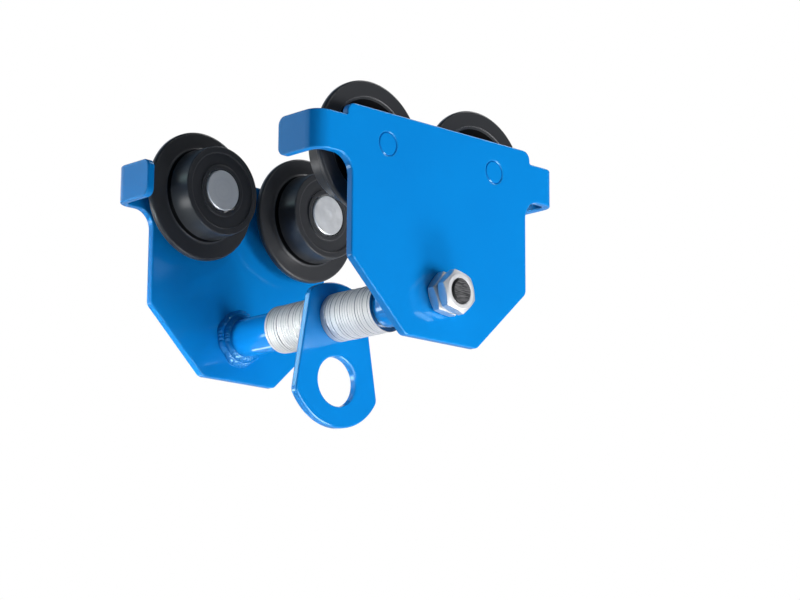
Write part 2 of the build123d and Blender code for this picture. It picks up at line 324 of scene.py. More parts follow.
backdrop = mix_shaders(tree, sees_white, room, white)
tree.links.new(backdrop.outputs[0], output.inputs["Surface"])
print("room behind", BEHIND, "in front", FRONT, "overhead", OVERHEAD, "window", WINDOW, "flag", FLAG)

# %% [markdown]
# ## Soft lamps
# A product photographer hangs softboxes until each form has its light. One large lamp would light the
# trolley, but gloss paint would then show one glare and no edges. So ten lamps share the work. The key
# lamp and the front lamp give the front plate its even tone, and a low, wide strip in front lights the
# undersides. The low left lamp, narrowed by a grid, and the back left one light the washers, the bosses
# and the left edges. The low back lamp draws the line under the far boss, and the high left one the line
# on the lug's left side, in the tint of a clear sky. Three lamps overhead bring out the upper sides of
# the wheels and the nuts.

# %% Hang the soft lamps
SKY = (0.85, 0.96, 1.0)
CLEAR_SKY = (0.55, 0.95, 1.0)
OPEN_FRONT = 180.0
GRID = 14.0
LOW_STRIP = 3.0
SHAFT_AIM = (0, 0, -0.07)


def soft_lamp(name, place, size, power, aim=SHAFT_AIM, colour=WHITE, spread=OPEN_FRONT, stretch=1.0):
    """A softbox that faces a point of the trolley: stretched sideways, or narrowed by a grid."""
    data = bpy.data.lights.new(name, "AREA")
    data.shape = "RECTANGLE"
    data.size = size * stretch
    data.size_y = size
    data.energy = power
    data.color = colour
    data.spread = math.radians(spread)
    lamp = bpy.data.objects.new(name, data)
    scene.collection.objects.link(lamp)
    lamp.location = place
    lamp.rotation_mode = "QUATERNION"
    lamp.rotation_quaternion = (Vector(aim) - Vector(place)).to_track_quat("-Z", "Y")
    return lamp


lamps = [
    soft_lamp("key_lamp", (0.95, -1.85, -0.6), size=0.8, power=27.8, aim=(0, 0, -0.03)),
    soft_lamp("front_lamp", (0.3, -2.05, -0.4), size=0.5, power=9, aim=(0, 0, -0.05)),
    soft_lamp(
        "low_left_lamp", (-1.41, 0.51, -0.71), size=0.2, power=0.23,
        aim=(-0.03, 0.11, -0.1), colour=SKY, spread=GRID,
    ),
    soft_lamp("low_back_lamp", (0.25, 1.13, -0.97), size=0.2, power=0.6),
    soft_lamp("low_front_lamp", (0.25, -0.7, -1.13), size=0.19, power=7, stretch=LOW_STRIP),
    soft_lamp("back_left_lamp", (-1.05, 1.15, -0.45), size=0.38, power=2.9),
    soft_lamp(
        "high_left_lamp", (-0.93, 1.13, 0.59), size=0.3, power=0.85,
        aim=(-0.03, 0, -0.1), colour=CLEAR_SKY,
    ),
    soft_lamp("top_front_lamp", (0.48, -1.33, 1.25), size=0.25, power=1.5, aim=(0, 0.11, -0.05)),
    soft_lamp("top_left_lamp", (-0.2, -1.6, 1.05), size=0.3, power=1.4, aim=(0, -0.14, -0.07)),
    soft_lamp("top_right_lamp", (1.25, -0.33, 1.33), size=0.7, power=8, aim=(0, 0, 0)),
]
print("lamps", [lamp.name for lamp in lamps])

# %% [markdown]
# ## Rings about the shaft
# Weld beads and washers are all rings about the cross shaft. A torus or a cylinder could be cut to
# shape, but their cross section would be hard to control. So each ring starts as a small loop of points,
# its cross section, and is spun once round the shaft's axis in edit mode. The loop is closed, so the
# ring is closed too.

# %% Helper for rings
SIDES = ("front", "rear")
CORNERS = [f"{side}_{end}" for side in SIDES for end in ("left", "right")]
LOOP_RADIUS = 0.01
SEAM = 1e-7


def spun_ring(name, section, steps):
    """A closed ring round the shaft's axis from a loop of (radius, y) points."""
    bpy.ops.object.select_all(action="DESELECT")
    bpy.ops.mesh.primitive_circle_add(vertices=len(section), radius=LOOP_RADIUS)
    ring = bpy.context.object
    ring.name = name
    ring.data.name = name
    for vertex, (radius, y) in zip(ring.data.vertices, section):
        vertex.co = (radius, y, shaft_z)
    bpy.ops.object.mode_set(mode="EDIT")
    bpy.ops.mesh.select_all(action="SELECT")
    centre = (0, 0, shaft_z)
    bpy.ops.mesh.spin(steps=steps, angle=math.tau, center=centre, axis=(0, 1, 0), use_auto_merge=True)
    bpy.ops.mesh.select_all(action="SELECT")
    bpy.ops.mesh.remove_doubles(threshold=SEAM)
    bpy.ops.mesh.normals_make_consistent(inside=False)
    bpy.ops.object.mode_set(mode="OBJECT")
    return ring


print("sides", SIDES, "corners", CORNERS)

# %% [markdown]
# ## Weld beads
# A tubular boss stands on the inside of each plate, held by one hand-laid fillet weld that was painted
# over. It was laid in two runs side by side, each a row of overlapping ripples, the frozen edges of the
# weld pool, and its toe wanders a little on the plate. A bump in the paint could draw the ripples, but
# the bead's outline would stay plain. So the bead is spun as a fillet with two humps, and its points are
# then lifted along the fillet's slope: the ripples lean back at the toes, as real ones do.

# %% Cross section of the weld
WELD_LEG = 0.008
WELD_CROWN = 0.0009
WELD_ROOT = 0.0004
WELD_ACROSS = 25
HUMP_POWER = 0.7
SLOPE = math.sqrt(0.5)
weld_toe = boss_radius + WELD_LEG


def hump(across):
    """Height of the two runs, from the toe on the plate at 0 to the toe on the boss at 1."""
    return abs(math.sin(math.tau * across)) ** HUMP_POWER


def weld_section():
    """Loop of (radius, height) points: the root in the corner, then the face with its two humps."""
    section = [(boss_radius - WELD_ROOT, -WELD_ROOT), (weld_toe, -WELD_ROOT)]
    for step in range(WELD_ACROSS):
        across = step / (WELD_ACROSS - 1)
        lift = WELD_CROWN * hump(across) * SLOPE
        section.append((weld_toe - WELD_LEG * across + lift, WELD_LEG * across + lift))
    section.append((boss_radius - WELD_ROOT, WELD_LEG))
    return section


print("weld section", len(weld_section()), "points, leg", WELD_LEG)

# %% Ripples and toe of the weld
WELD_RIPPLES = 30
STEPS_PER_RIPPLE = 12
RIPPLE_HEIGHT = 0.0006
RIPPLE_STRENGTH = (0.3, 1.4)
RIPPLE_SKEW = 0.6
RIPPLE_SINK = 0.5
TOE_LAG = 0.55
SECOND_RUN_LAG = 0.45
HAND_LAG = ((0.8, 3, 1), (0.35, 7, 0))
TOE_WANDER = 0.0007
HAND_WANDER = ((1.0, 4, 2), (0.7, 9, 1))


def waves(turn, parts):
    """A sum of waves round the boss, each given by its size, its count and its start."""
    return sum(size * math.sin(count * turn + start) for size, count, start in parts)


def ripple_lift(turn, across, strength):
    """How far the ripples lift the weld's face, at an angle round the boss and a place across it."""
    run = across * 2 % 1.0
    lag = TOE_LAG * (2 * run - 1) ** 2 + waves(turn, HAND_LAG)
    lag += SECOND_RUN_LAG * (across > 0.5)
    beat = (turn / math.tau * WELD_RIPPLES - lag) % WELD_RIPPLES
    shape = math.sin(math.pi * (beat % 1.0) ** RIPPLE_SKEW) - RIPPLE_SINK
    return RIPPLE_HEIGHT * strength[int(beat)] * shape * hump(across)


def toe_wander(turn, across):
    """How far the weld strays outwards on the plate."""
    return TOE_WANDER * waves(turn, HAND_WANDER) * (1 - across) ** 2


print("ripples", WELD_RIPPLES, "of", STEPS_PER_RIPPLE, "steps")

# %% Lay the weld beads
WELD_SMOOTH = math.radians(50)


def lay_weld(side):
    """One rippled fillet between a boss and its plate."""
    sign = -1 if side == "front" else 1
    chance = random.Random(side)
    strength = [chance.uniform(*RIPPLE_STRENGTH) for _ in range(WELD_RIPPLES)]
    bead = spun_ring(f"{side}_weld_bead", weld_section(), WELD_RIPPLES * STEPS_PER_RIPPLE)
    for vertex in bead.data.vertices:
        x, height, z = vertex.co.x, vertex.co.y, vertex.co.z - shaft_z
        radius = math.hypot(x, z)
        turn = math.atan2(z, x)
        across = (weld_toe - radius + height) / (2 * WELD_LEG)
        on_face = height >= 0 and radius >= boss_radius - WELD_ROOT / 2
        lift = ripple_lift(turn, across, strength) if on_face else 0.0
        wander = toe_wander(turn, across) if radius > boss_radius else 0.0
        grown = radius + lift * SLOPE + wander
        vertex.co.x = x * grown / radius
        vertex.co.z = shaft_z + z * grown / radius
        vertex.co.y = sign * (inner_y - height - lift * SLOPE)
    if sign < 0:
        bead.data.flip_normals()
    bead.data.update()
    bpy.ops.object.shade_smooth_by_angle(angle=WELD_SMOOTH)
    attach(bead, "frame")
    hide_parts(f"{side}_boss_weld")
    return bead


welds = [lay_weld(side) for side in SIDES]
print("weld beads", [(weld.name, len(weld.data.vertices)) for weld in welds])

# %% [markdown]
# ## Spacer washers
# The washers are punched from 3 mm sheet. The punch rolls one rim over and leaves the other rim sharp,
# and nobody turns them all the same way on the shaft, so the grooves between them are wide and narrow in
# no order. One long cylinder with painted lines could stand for a stack, but its outline would be
# straight. So one washer is spun with a rolled and a sharp rim. It is then copied, turned either way and
# let slip sideways by its play on the shaft.

# %% Punch one washer
WASHER_THICK = 0.003
WASHER_PLAY = 0.00012
WASHER_SLIP = 0.0003
WASHER_STEPS = 96
HOLE_PLAY = 0.0005
ROLLED_RIM = 0.00033
SHARP_RIM = 0.0002
RIM_STEPS = 5
QUARTER_TURN = math.radians(90)


def quarter(radius, y, rim, start):
    """Points of a rounded corner about a centre, from an angle over a quarter turn."""
    angles = [start + QUARTER_TURN * step / (RIM_STEPS - 1) for step in range(RIM_STEPS)]
    return [(radius + rim * math.cos(angle), y + rim * math.sin(angle)) for angle in angles]


def punch_washer():
    """One washer about the shaft with its sharp rim at y = 0 and its rolled rim above."""
    outside = radius_of("front_spacer_washers") - WASHER_SLIP
    hole = shaft_radius + HOLE_PLAY
    top = WASHER_THICK - WASHER_PLAY
    section = quarter(outside - SHARP_RIM, SHARP_RIM, SHARP_RIM, -QUARTER_TURN)
    section += quarter(outside - ROLLED_RIM, top - ROLLED_RIM, ROLLED_RIM, 0.0)
    section += [(hole, top), (hole, 0.0)]
    return spun_ring("washer", section, WASHER_STEPS)


one_washer = punch_washer()
print("one washer", len(one_washer.data.polygons), "faces")

# %% Stack the washers
LEAST_SLIP = 0.2
TURNED_SHARE = 0.5
WASHER_SMOOTH = math.radians(30)


def stack_washers(side):
    """A stack of copies of the washer, each turned either way and slipped a little."""
    low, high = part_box(f"{side}_spacer_washers")
    count = round((high.y - low.y) / WASHER_THICK)
    chance = random.Random(side + " washers")
    bpy.ops.object.select_all(action="DESELECT")
    for number in range(count):
        washer = one_washer.copy()
        washer.data = one_washer.data.copy()
        scene.collection.objects.link(washer)
        lean = chance.uniform(0, math.tau)
        slip = chance.uniform(LEAST_SLIP, 1.0) * WASHER_SLIP
        turned = chance.random() < TURNED_SHARE
        turn = Matrix.Rotation(math.pi, 4, "Z") if turned else Matrix.Identity(4)
        along = low.y + number * WASHER_THICK + (WASHER_THICK if turned else 0.0)
        shift = Matrix.Translation((slip * math.cos(lean), along, slip * math.sin(lean)))
        washer.data.transform(shift @ turn)
        washer.select_set(True)
        if number == 0:
            bpy.context.view_layer.objects.active = washer
    bpy.ops.object.join()
    stack = bpy.context.object
    stack.name = f"{side}_washers"
    stack.data.name = stack.name
    bpy.ops.object.shade_smooth_by_angle(angle=WASHER_SMOOTH)
    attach(stack, "frame")
    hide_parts(f"{side}_spacer_washers")
    print(stack.name, count, "washers")
    return stack


stacks = [stack_washers(side) for side in SIDES]
bpy.data.objects.remove(one_washer)

# %% [markdown]
# ## Paint skin
# Real paint is never quite even: it dries to a fine orange peel, drifts a little in tone and picks up
# smudges. Each finish could have its own noise nodes. Here they are one node group with named inputs, so
# that every finish can use the same skin at its own scale.

# %% Paint skin group
PEEL_PER_METRE = 750.0
DRIFT_PER_METRE = 14.0
SMUDGE_PER_METRE = 70.0


def start_group(name, inputs, outputs):
    """A node group with number inputs (name, default) and the named outputs."""
    group = bpy.data.node_groups.new(name, "ShaderNodeTree")
    for label, default in inputs:
        socket = group.interface.new_socket(label, in_out="INPUT", socket_type="NodeSocketFloat")
        socket.default_value = default
    for label in outputs:
        group.interface.new_socket(label, in_out="OUTPUT", socket_type="NodeSocketFloat")
    return group, group.nodes.new("NodeGroupInput"), group.nodes.new("NodeGroupOutput")


def object_place(tree):
    """The place on the piece, in metres in the trolley's own frame."""
    return add(tree, "TexCoord").outputs["Object"]


def noise(tree, vector, scale, detail=2.0, roughness=0.5):
    """Soft 3D noise at a scale, which is a number or a socket."""
    node = add(tree, "TexNoise")
    node.inputs["Detail"].default_value = detail
    node.inputs["Roughness"].default_value = roughness
    tree.links.new(vector, node.inputs["Vector"])
    if isinstance(scale, (int, float)):
        node.inputs["Scale"].default_value = scale
    else:
        tree.links.new(scale, node.inputs["Scale"])
    return node.outputs["Fac"]


paint_skin, inlet, outlet = start_group(
    "paint_skin",
    [("Peel scale", PEEL_PER_METRE), ("Drift scale", DRIFT_PER_METRE), ("Smudge scale", SMUDGE_PER_METRE)],
    ["Height", "Drift", "Smudge"],
)
spot = object_place(paint_skin)
peel = noise(paint_skin, spot, inlet.outputs["Peel scale"], detail=1.0)
drift = noise(paint_skin, spot, inlet.outputs["Drift scale"], detail=3.0)
smudge = noise(paint_skin, spot, inlet.outputs["Smudge scale"], detail=4.0, roughness=0.6)
paint_skin.links.new(peel, outlet.inputs["Height"])
paint_skin.links.new(drift, outlet.inputs["Drift"])
paint_skin.links.new(smudge, outlet.inputs["Smudge"])
print("group", paint_skin.name, len(paint_skin.nodes), "nodes")

# %% [markdown]
# ## Edge line
# Blue parts get a light line along their edges, a painted highlight where a rounded edge would catch
# the light. On the wheels, the lip of the dish gets a bright painted highlight along its edge. The lines
# could be modelled as narrow faces, but the solids stay as they are. The Bevel node rounds the normal near
# an edge, and where the rounded normal leaves the true one, the mask rises.

# %% Edge line group
EDGE_WIDTH = 0.0012
EDGE_FROM = 0.02
EDGE_TO = 0.16
BEVEL_SAMPLES = 6

edge_line, inlet, outlet = start_group(
    "edge_line",
    [("Width", EDGE_WIDTH), ("From", EDGE_FROM), ("To", EDGE_TO)],
    ["Mask"],
)
rounded = add(edge_line, "Bevel", samples=BEVEL_SAMPLES)
edge_line.links.new(inlet.outputs["Width"], rounded.inputs["Radius"])
surface = add(edge_line, "NewGeometry")
alike = add(edge_line, "VectorMath", operation="DOT_PRODUCT")
edge_line.links.new(rounded.outputs["Normal"], alike.inputs[0])
edge_line.links.new(surface.outputs["Normal"], alike.inputs[1])
mask = add(edge_line, "MapRange")
edge_line.links.new(rest_of(edge_line, alike.outputs["Value"]), mask.inputs["Value"])
edge_line.links.new(inlet.outputs["From"], mask.inputs["From Min"])
edge_line.links.new(inlet.outputs["To"], mask.inputs["From Max"])
edge_line.links.new(mask.outputs["Result"], outlet.inputs["Mask"])
print("group", edge_line.name, len(edge_line.nodes), "nodes")

# %% [markdown]
# ## Lathe rings
# Turned metal keeps fine rings from the tool. A ring texture on each piece would need its own centre.
# The four axles stand at the same distance left and right of the middle, so one group folds left onto
# right, measures the radius about the axle, and draws noise along that radius. It also hands out the
# radius, for patterns that follow the wheel or the rivet.

# %% Lathe rings group
RINGS_PER_METRE = 1500.0
TONE_SCALE = 0.13


def part_of(tree, vector, axis):
    """The X, Y or Z of a vector socket."""
    node = add(tree, "SeparateXYZ")
    tree.links.new(vector, node.inputs[0])
    return node.outputs[axis]


turned_rings, inlet, outlet = start_group(
    "turned_rings",
    [("Axle distance", 0.0), ("Axle height", 0.0), ("Rings per metre", RINGS_PER_METRE)],
    ["Height", "Tone", "Radius"],
)
tree = turned_rings
spot = object_place(tree)
from_middle = math_node(tree, "ABSOLUTE", part_of(tree, spot, "X"))
across = math_node(tree, "SUBTRACT", from_middle, inlet.outputs["Axle distance"])
rise = math_node(tree, "SUBTRACT", part_of(tree, spot, "Z"), inlet.outputs["Axle height"])
square = math_node(tree, "MULTIPLY", across, across)
square = math_node(tree, "MULTIPLY_ADD", rise, rise, square)
radius = math_node(tree, "SQRT", square)
density = inlet.outputs["Rings per metre"]
ring_place = add(tree, "CombineXYZ")
tree.links.new(math_node(tree, "MULTIPLY", radius, density), ring_place.inputs["X"])
tree.links.new(math_node(tree, "MULTIPLY", part_of(tree, spot, "Y"), density), ring_place.inputs["Y"])
tree.links.new(noise(tree, ring_place.outputs[0], 1.0), outlet.inputs["Height"])
tree.links.new(noise(tree, ring_place.outputs[0], TONE_SCALE), outlet.inputs["Tone"])
tree.links.new(radius, outlet.inputs["Radius"])
print("group", turned_rings.name, len(turned_rings.nodes), "nodes")

# %% [markdown]
# ## From effects to finishes
# A finish takes masks and noise from the groups and turns them into a colour, a roughness and a normal
# on one Principled shader. Plain values could pass through the groups too, but they are set on the
# shader itself, where they are easy to find and survive an export.

# %% Helpers for finishes
NOISE_SPAN = (0.3, 0.7)


def use_group(tree, group, **values):
    """A group placed in a material with its own values."""
    node = add(tree, "Group", node_tree=group)
    for key, value in values.items():
        node.inputs[key.replace("_", " ")].default_value = value
    return node


def span(tree, fac, low, high):
    """A number that runs from low to high over the usual span of noise."""
    node = add(tree, "MapRange")
    node.inputs["From Min"].default_value = NOISE_SPAN[0]
    node.inputs["From Max"].default_value = NOISE_SPAN[1]
    node.inputs["To Min"].default_value = low
    node.inputs["To Max"].default_value = high
    tree.links.new(fac, node.inputs["Value"])
    return node.outputs["Result"]


def bump(tree, height, strength, distance, rounding=0.0, under=None):
    """A bump of a strength and a depth in metres, over another bump or over edges that look rounded."""
    node = add(tree, "Bump")
    node.inputs["Strength"].default_value = strength
    node.inputs["Distance"].default_value = distance
    tree.links.new(height, node.inputs["Height"])
    if under:
        tree.links.new(under, node.inputs["Normal"])
    if rounding:
        rounded = add(tree, "Bevel", samples=BEVEL_SAMPLES)
        rounded.inputs["Radius"].default_value = rounding
        tree.links.new(rounded.outputs["Normal"], node.inputs["Normal"])
    return node.outputs["Normal"]


def make_finish(tree, output, plain, **linked):
    """A Principled shader with plain values, and with sockets linked to its inputs by name."""
    shader = principled(tree, **plain)
    for key, socket in linked.items():
        tree.links.new(socket, shader.inputs[key.replace("_", " ")])
    tree.links.new(shader.outputs[0], output.inputs["Surface"])


def dress(material, *names):
    """Gives CAD nodes a finish through their material slots."""
    for name in names:
        for slot in nodes[name].material_slots:
            slot.material = material


print("finish helpers ready")

# %% [markdown]
# ## Blue enamel
# Plates, lug and bosses share one gloss blue. The colour drifts a little, has a painted highlight, a light
# line, along edges, and a soft ring of painted shade round each riveted axle end, where a bump also sinks
# the paint. The rings could be cut into the solids, but they are less than a fifth of a millimetre deep,
# so a bump and a darker tint, the painted shade, draw them. The lug and the bosses mirror more than the
# flat plates do: they get the same paint with a higher index of refraction, and a gloss that is tinted
# less.

# %% Blue enamel
BLUE_DEEP = (0.003, 0.196, 0.57)
BLUE_LIGHT = (0.003, 0.226, 0.625)
BLUE_EDGE_HIGHLIGHT = (0.09, 0.7, 1.0)
BLUE_RING_SHADE = (0.001, 0.12, 0.42)
EDGE_HIGHLIGHT = 0.9
RING_SHADE = 0.6
RIVET_RADIUS = 0.0095
RIVET_RING = 0.0016
RIVET_DEPTH = 0.00015
PAINT_EDGE = 0.0013
PAINT_ROUNDING = 0.0014
PAINT_ROUGHNESS = (0.07, 0.11)
PAINT_PEEL = (0.05, 0.0003)
PLATE_IOR = 1.5
PLATE_GLOSS = (0.5, 0.85, 1.0, 1.0)
LUG_IOR = 1.7
LUG_GLOSS = (0.72, 0.92, 1.0, 1.0)


def rivet_ring(tree, radius):
    """The soft ring round a riveted end: 1 in its middle, 0 beside it."""
    off_ring = math_node(tree, "ABSOLUTE", math_node(tree, "SUBTRACT", radius, RIVET_RADIUS))
    return rest_of(tree, ramp(tree, off_ring, 0.0, RIVET_RING))


def blue_coat(tree, skin, ring):
    """The enamel's colour, darker in the ring round a rivet: painted shade."""
    colour = blend(tree, skin.outputs["Drift"], BLUE_DEEP, BLUE_LIGHT)
    # Painted shade: the colour darkens in the soft ring round each rivet, where the paint dips.
    return blend(tree, math_node(tree, "MULTIPLY", ring, RING_SHADE), colour, BLUE_RING_SHADE)


def enamel(name, ior, gloss):
    """Blue enamel as glossy as its index of refraction, with a painted highlight along edges, sunk and with
    painted shade round the rivets.
    """
    material, tree, output = new_material(name)
    skin = use_group(tree, paint_skin)
    edges = use_group(tree, edge_line, Width=PAINT_EDGE)
    lathe = use_group(tree, turned_rings, Axle_distance=axle_x, Axle_height=axle_z)
    ring = rivet_ring(tree, lathe.outputs["Radius"])
    beside = rest_of(tree, ring)
    # Painted highlight: the base colour turns light blue along edges, where a rounded edge would catch the
    # light.
    edge_highlight = math_node(tree, "MULTIPLY", edges.outputs["Mask"], EDGE_HIGHLIGHT)
    edge_highlight = math_node(tree, "MULTIPLY", edge_highlight, beside)
    valley = bump(tree, beside, 1.0, RIVET_DEPTH, rounding=PAINT_ROUNDING)
    make_finish(
        tree,
        output,
        {"IOR": ior, "Specular_Tint": gloss},
        Base_Color=blend(tree, edge_highlight, blue_coat(tree, skin, ring), BLUE_EDGE_HIGHLIGHT),
        Roughness=span(tree, skin.outputs["Smudge"], *PAINT_ROUGHNESS),
        Normal=bump(tree, skin.outputs["Height"], *PAINT_PEEL, under=valley),
    )
    return material


plate_enamel = enamel("blue_enamel", PLATE_IOR, PLATE_GLOSS)
lug_enamel = enamel("lug_enamel", LUG_IOR, LUG_GLOSS)
dress(plate_enamel, "front_side_plate", "rear_side_plate")
dress(lug_enamel, "load_lug", "front_boss", "rear_boss")
print("blue enamel on", sum(plate_enamel in list(node.data.materials) for node in nodes.values()), "plates")

# %% [markdown]
# ## Thick enamel on the welds
# Paint gathers thickly on a weld, so the beads are the glossiest blue of all, with a tone that drifts
# between deep and light. The plates' enamel could be used again, but its fine peel and edge lines would
# break up the ripples. This one has neither of them, but a coarser skin, a higher index of refraction
# and a cool gloss.

# %% Thick enamel on the welds
WELD_DEEP = (0.0, 0.15, 0.5)
WELD_LIGHT = (0.0, 0.215, 0.62)
WELD_GLOSS = (0.42, 0.85, 1.0, 1.0)
WELD_IOR = 1.8
WELD_SKIN_PER_METRE = 300.0
WELD_ROUGHNESS = (0.03, 0.06)
WELD_SKIN = (0.4, 0.001)

weld_enamel, tree, output = new_material("weld_enamel")
skin = use_group(tree, paint_skin, Peel_scale=WELD_SKIN_PER_METRE)
make_finish(
    tree,
    output,
    {"IOR": WELD_IOR, "Specular_Tint": WELD_GLOSS},
    Base_Color=blend(tree, skin.outputs["Smudge"], WELD_DEEP, WELD_LIGHT),
    Roughness=span(tree, skin.outputs["Smudge"], *WELD_ROUGHNESS),
    Normal=bump(tree, skin.outputs["Height"], *WELD_SKIN),
)
for weld in welds:
    weld.data.materials.append(weld_enamel)
print("thick enamel on", len(welds), "weld beads")

# %% [markdown]
# ## Black wheels
# The wheels are turned from steel and painted satin black. Their dish on the plate side is coloured
# almost pure black, painted shade for the shadow it stands in, and the dish's lip gets a light grey line,
# a painted highlight, with a faint one on the other edges. Dish and lip could be separate pieces, but on
# the real wheel they are one, so masks by radius and depth pick them out. A clear coat gives the satin
# sheen and is left off in the dish.

# %% Black wheels
BLACK_DEEP = (0.028, 0.0285, 0.031)
BLACK_LIGHT = (0.04, 0.0405, 0.043)
DISH_SHADE_BLACK = (0.002, 0.002, 0.0025)
LIP_HIGHLIGHT_GREY = (0.8, 0.8, 0.81)
DISH_RADIUS = 0.0425
DISH_DEPTH = 0.012
LIP_WIDTH = 0.002
LIP_HIGHLIGHT = 0.9
WHEEL_EDGE_HIGHLIGHT = 0.05
WHEEL_EDGE = 0.002
WHEEL_PEEL_PER_METRE = 1100.0
WHEEL_RINGS_PER_METRE = 700.0
WHEEL_RING_SHARE = 0.7
WHEEL_ROUGHNESS = (0.3, 0.42)
DISH_ROUGHER = 0.2
WHEEL_RELIEF = (0.08, 0.0004)
WHEEL_ROUNDING = 0.002
WHEEL_SHEEN = {"Specular_IOR_Level": 0.06, "Coat_Roughness": 0.3, "Coat_IOR": 1.36}

black_paint, tree, output = new_material("black_wheel_paint")
skin = use_group(tree, paint_skin, Peel_scale=WHEEL_PEEL_PER_METRE)
lathe = use_group(
    tree, turned_rings, Axle_distance=axle_x, Axle_height=axle_z, Rings_per_metre=WHEEL_RINGS_PER_METRE
)
edges = use_group(tree, edge_line, Width=WHEEL_EDGE)
dish_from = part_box("rear_right_wheel")[1].y - DISH_DEPTH
outwards = math_node(tree, "ABSOLUTE", part_of(tree, object_place(tree), "Y"))
near_plate = math_node(tree, "GREATER_THAN", outwards, dish_from)
inside = math_node(tree, "LESS_THAN", lathe.outputs["Radius"], DISH_RADIUS - LIP_WIDTH)
in_dish = math_node(tree, "MULTIPLY", near_plate, inside)
at_lip = math_node(tree, "COMPARE", lathe.outputs["Radius"], DISH_RADIUS, LIP_WIDTH)
at_lip = math_node(tree, "MULTIPLY", at_lip, near_plate)
# Painted highlight: a light grey line on the dish's lip, and a faint one on the other edges.
painted_highlight = math_node(tree, "MULTIPLY_ADD", at_lip, LIP_HIGHLIGHT, WHEEL_EDGE_HIGHLIGHT)
painted_highlight = math_node(tree, "MULTIPLY", painted_highlight, edges.outputs["Mask"])
colour = blend(tree, skin.outputs["Drift"], BLACK_DEEP, BLACK_LIGHT)
# Painted shade: the dish on the plate side is coloured almost pure black.
colour = blend(tree, in_dish, colour, DISH_SHADE_BLACK)
satin = span(tree, skin.outputs["Smudge"], *WHEEL_ROUGHNESS)
relief = math_node(tree, "MULTIPLY_ADD", lathe.outputs["Height"], WHEEL_RING_SHARE, skin.outputs["Height"])
make_finish(
    tree,
    output,
    WHEEL_SHEEN,
    Base_Color=blend(tree, painted_highlight, colour, LIP_HIGHLIGHT_GREY),
    Roughness=math_node(tree, "MULTIPLY_ADD", in_dish, DISH_ROUGHER, satin),
    Coat_Weight=rest_of(tree, in_dish),
    Normal=bump(tree, relief, *WHEEL_RELIEF, rounding=WHEEL_ROUNDING),
)
dress(black_paint, *[f"{corner}_wheel" for corner in CORNERS])
print("black paint on", len(CORNERS), "wheels")

# %% [markdown]
# ## Zinc on the washers
# The washers are zinc plated in a barrel, so no two have quite the same tone or polish. The rear stack is
# painted a little darker overall, painted shade that evens out the light between the two stacks. Each
# washer could get a material of its own. Instead the place along the shaft gives each washer a number,
# and the number a tone. The rolled rims are painted dark in the grooves, painted shade between the
# washers, and the flat faces that press on each other are smoother than the punched rims and painted
# darker, painted shade on the end faces that show.

# %% Zinc on the washers
ZINC_DEEP = (0.765, 0.726, 0.695)
ZINC_LIGHT = (0.835, 0.795, 0.763)
CLEAN_SMUDGE = (0.86, 0.86, 0.86)
REAR_SMUDGE_AND_SHADE = (0.78, 0.78, 0.78)
REAR_CLEAN_AND_SHADE = (0.92, 0.92, 0.92)
GROOVE_SHADE = (0.3, 0.3, 0.305)
FACE_SHADE = (0.3, 0.31, 0.33)
FACE_RAMP = (0.9, 0.98)
GROOVE_RAMP = (0.25, 0.7)
RIM_ROUGHNESS = (0.6, 0.68)
FACE_SMOOTHER = -0.4
RIM_METALLIC = 0.65
WASHER_SMUDGE_PER_METRE = 160.0
WASHER_PEEL = (0.1, 0.0003)


def end_facing(tree):
    """How squarely the surface faces along the shaft: 1 on an end, 0 on a side."""
    normal = add(tree, "NewGeometry").outputs["Normal"]
    return math_node(tree, "ABSOLUTE", part_of(tree, normal, "Y"))


def multiply(tree, first, second):
    """The product of two colours."""
    node = add(tree, "Mix", data_type="RGBA", blend_type="MULTIPLY")
    node.inputs["Factor"].default_value = 1.0
    tree.links.new(first, node.inputs[MIX_FIRST])
    tree.links.new(second, node.inputs[MIX_SECOND])
    return node.outputs[MIX_RESULT]


zinc_washer, tree, output = new_material("zinc_washer")
skin = use_group(tree, paint_skin, Smudge_scale=WASHER_SMUDGE_PER_METRE)
along = part_of(tree, object_place(tree), "Y")
number = math_node(tree, "FLOOR", math_node(tree, "DIVIDE", along, WASHER_THICK))
each = add(tree, "TexWhiteNoise", noise_dimensions="1D")
tree.links.new(number, each.inputs["W"])
own_tone = each.outputs["Value"]
clean = blend(tree, skin.outputs["Smudge"], CLEAN_SMUDGE, WHITE)
# Painted shade: the rear stack's tones are lower than the front's, to even out the light between the
# stacks; the smudge noise is the zinc's own.
oily = blend(tree, skin.outputs["Smudge"], REAR_SMUDGE_AND_SHADE, REAR_CLEAN_AND_SHADE)
smudge_and_rear_shade = blend(tree, math_node(tree, "GREATER_THAN", along, 0.0), clean, oily)
facing = end_facing(tree)
flat_face = ramp(tree, facing, *FACE_RAMP)
# Painted shade: the rolled rims turn dark grey where they dip into the grooves between washers.
groove_shade = math_node(tree, "MULTIPLY", ramp(tree, facing, *GROOVE_RAMP), rest_of(tree, flat_face))
colour = multiply(tree, blend(tree, own_tone, ZINC_DEEP, ZINC_LIGHT), smudge_and_rear_shade)
colour = blend(tree, groove_shade, colour, GROOVE_SHADE)
punched = span(tree, own_tone, *RIM_ROUGHNESS)
# Painted shade: the flat faces get a dark grey base colour, which shows on the end washers.
make_finish(
    tree,
    output,
    {},
    Base_Color=blend(tree, flat_face, colour, FACE_SHADE),
    Roughness=math_node(tree, "MULTIPLY_ADD", flat_face, FACE_SMOOTHER, punched),
    Metallic=math_node(tree, "MULTIPLY_ADD", flat_face, 1.0 - RIM_METALLIC, RIM_METALLIC),
    Normal=bump(tree, skin.outputs["Height"], *WASHER_PEEL),
)
for stack in stacks:
    stack.data.materials.append(zinc_washer)
print("zinc on", len(stacks), "stacks of washers")

